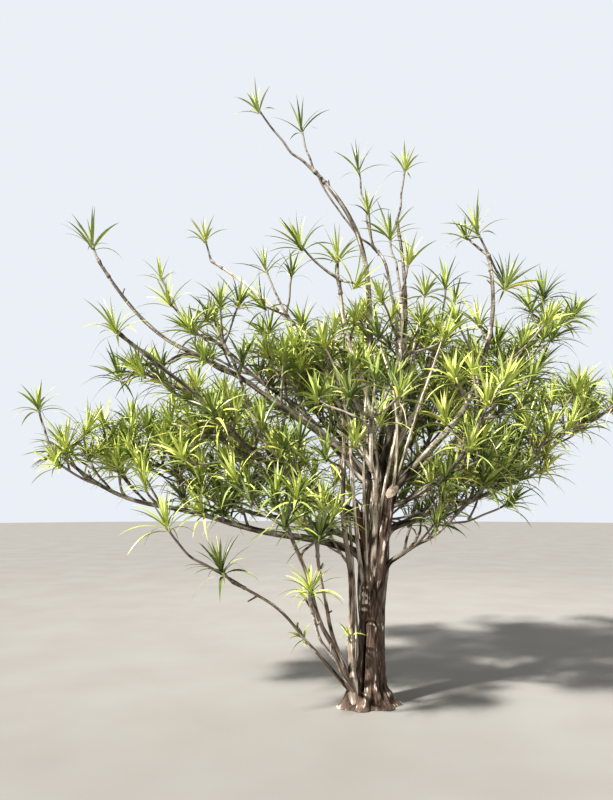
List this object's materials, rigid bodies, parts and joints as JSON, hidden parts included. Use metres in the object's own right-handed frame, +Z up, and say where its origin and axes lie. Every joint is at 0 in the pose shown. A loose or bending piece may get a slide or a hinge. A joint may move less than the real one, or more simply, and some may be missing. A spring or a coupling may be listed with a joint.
{
  "type": "multi-stemmed dragon tree",
  "caption": "Multi-stemmed dragon tree rooted in level ground: a fluted trunk on a flared root crown, slender arching boughs and open tufts of strap leaves at the shoot ends.",
  "frame": {"origin": "middle of the flat cut under the trunk, at ground level", "axes": "+Z is up; +X is to the right and -Y is towards a viewer who sees the crown's longest boughs reach out to the left"},
  "size_m": [5.2612, 3.7174, 5.6406],
  "materials": {
    "trunk_bark": "rough grey-brown corky bark with upright ridges",
    "bough_bark": "pale grey bark ringed with leaf scars",
    "foliage": "satin yellow-green strap leaves with some dry tan ones"
  },
  "bodies": {
    "root": {"back_fan_stem": "bough_bark", "back_fan_tuft": "foliage", "back_high_bough": "bough_bark", "back_high_tuft": "foliage", "back_left_bough": "bough_bark", "back_left_tuft": "foliage", "back_low_left_bough": "bough_bark", "back_low_left_tuft": "foliage", "back_low_right_bough": "bough_bark", "back_low_right_tuft": "foliage", "back_right_bough": "bough_bark", "back_right_tuft": "foliage", "centre_left_bough": "bough_bark", "centre_left_tuft": "foliage", "crossing_bough": "bough_bark", "crossing_tuft": "foliage", "far_left_bough": "bough_bark", "far_left_tuft": "foliage", "foot_tuft": "foliage", "front_centre_bough": "bough_bark", "front_centre_tuft": "foliage", "front_fan_stem": "bough_bark", "front_fan_tuft": "foliage", "front_right_bough": "bough_bark", "front_right_tuft": "foliage", "left_inner_bough": "bough_bark", "left_inner_tuft": "foliage", "left_low_bough": "bough_bark", "left_low_tuft": "foliage", "left_middle_bough": "bough_bark", "left_middle_tuft": "foliage", "left_twin_bough": "bough_bark", "left_twin_tuft": "foliage", "low_left_bough": "bough_bark", "low_left_tuft": "foliage", "low_tuft": "foliage", "mid_left_bough": "bough_bark", "mid_left_tuft": "foliage", "pale_left_bough": "bough_bark", "pale_left_tuft": "foliage", "right_arching_bough": "bough_bark", "right_arching_tuft": "foliage", "right_far_bough": "bough_bark", "right_far_low_bough": "bough_bark", "right_far_low_tuft": "foliage", "right_far_tuft": "foliage", "right_inner_bough": "bough_bark", "right_inner_tuft": "foliage", "right_low_bough": "bough_bark", "right_low_tuft": "foliage", "right_middle_bough": "bough_bark", "right_middle_tuft": "foliage", "right_upright_bough": "bough_bark", "right_upright_tuft": "foliage", "side_stem": "bough_bark", "side_tuft": "foliage", "top_bough": "bough_bark", "top_tuft": "foliage", "trunk": "trunk_bark"}
  },
  "joints": []
}
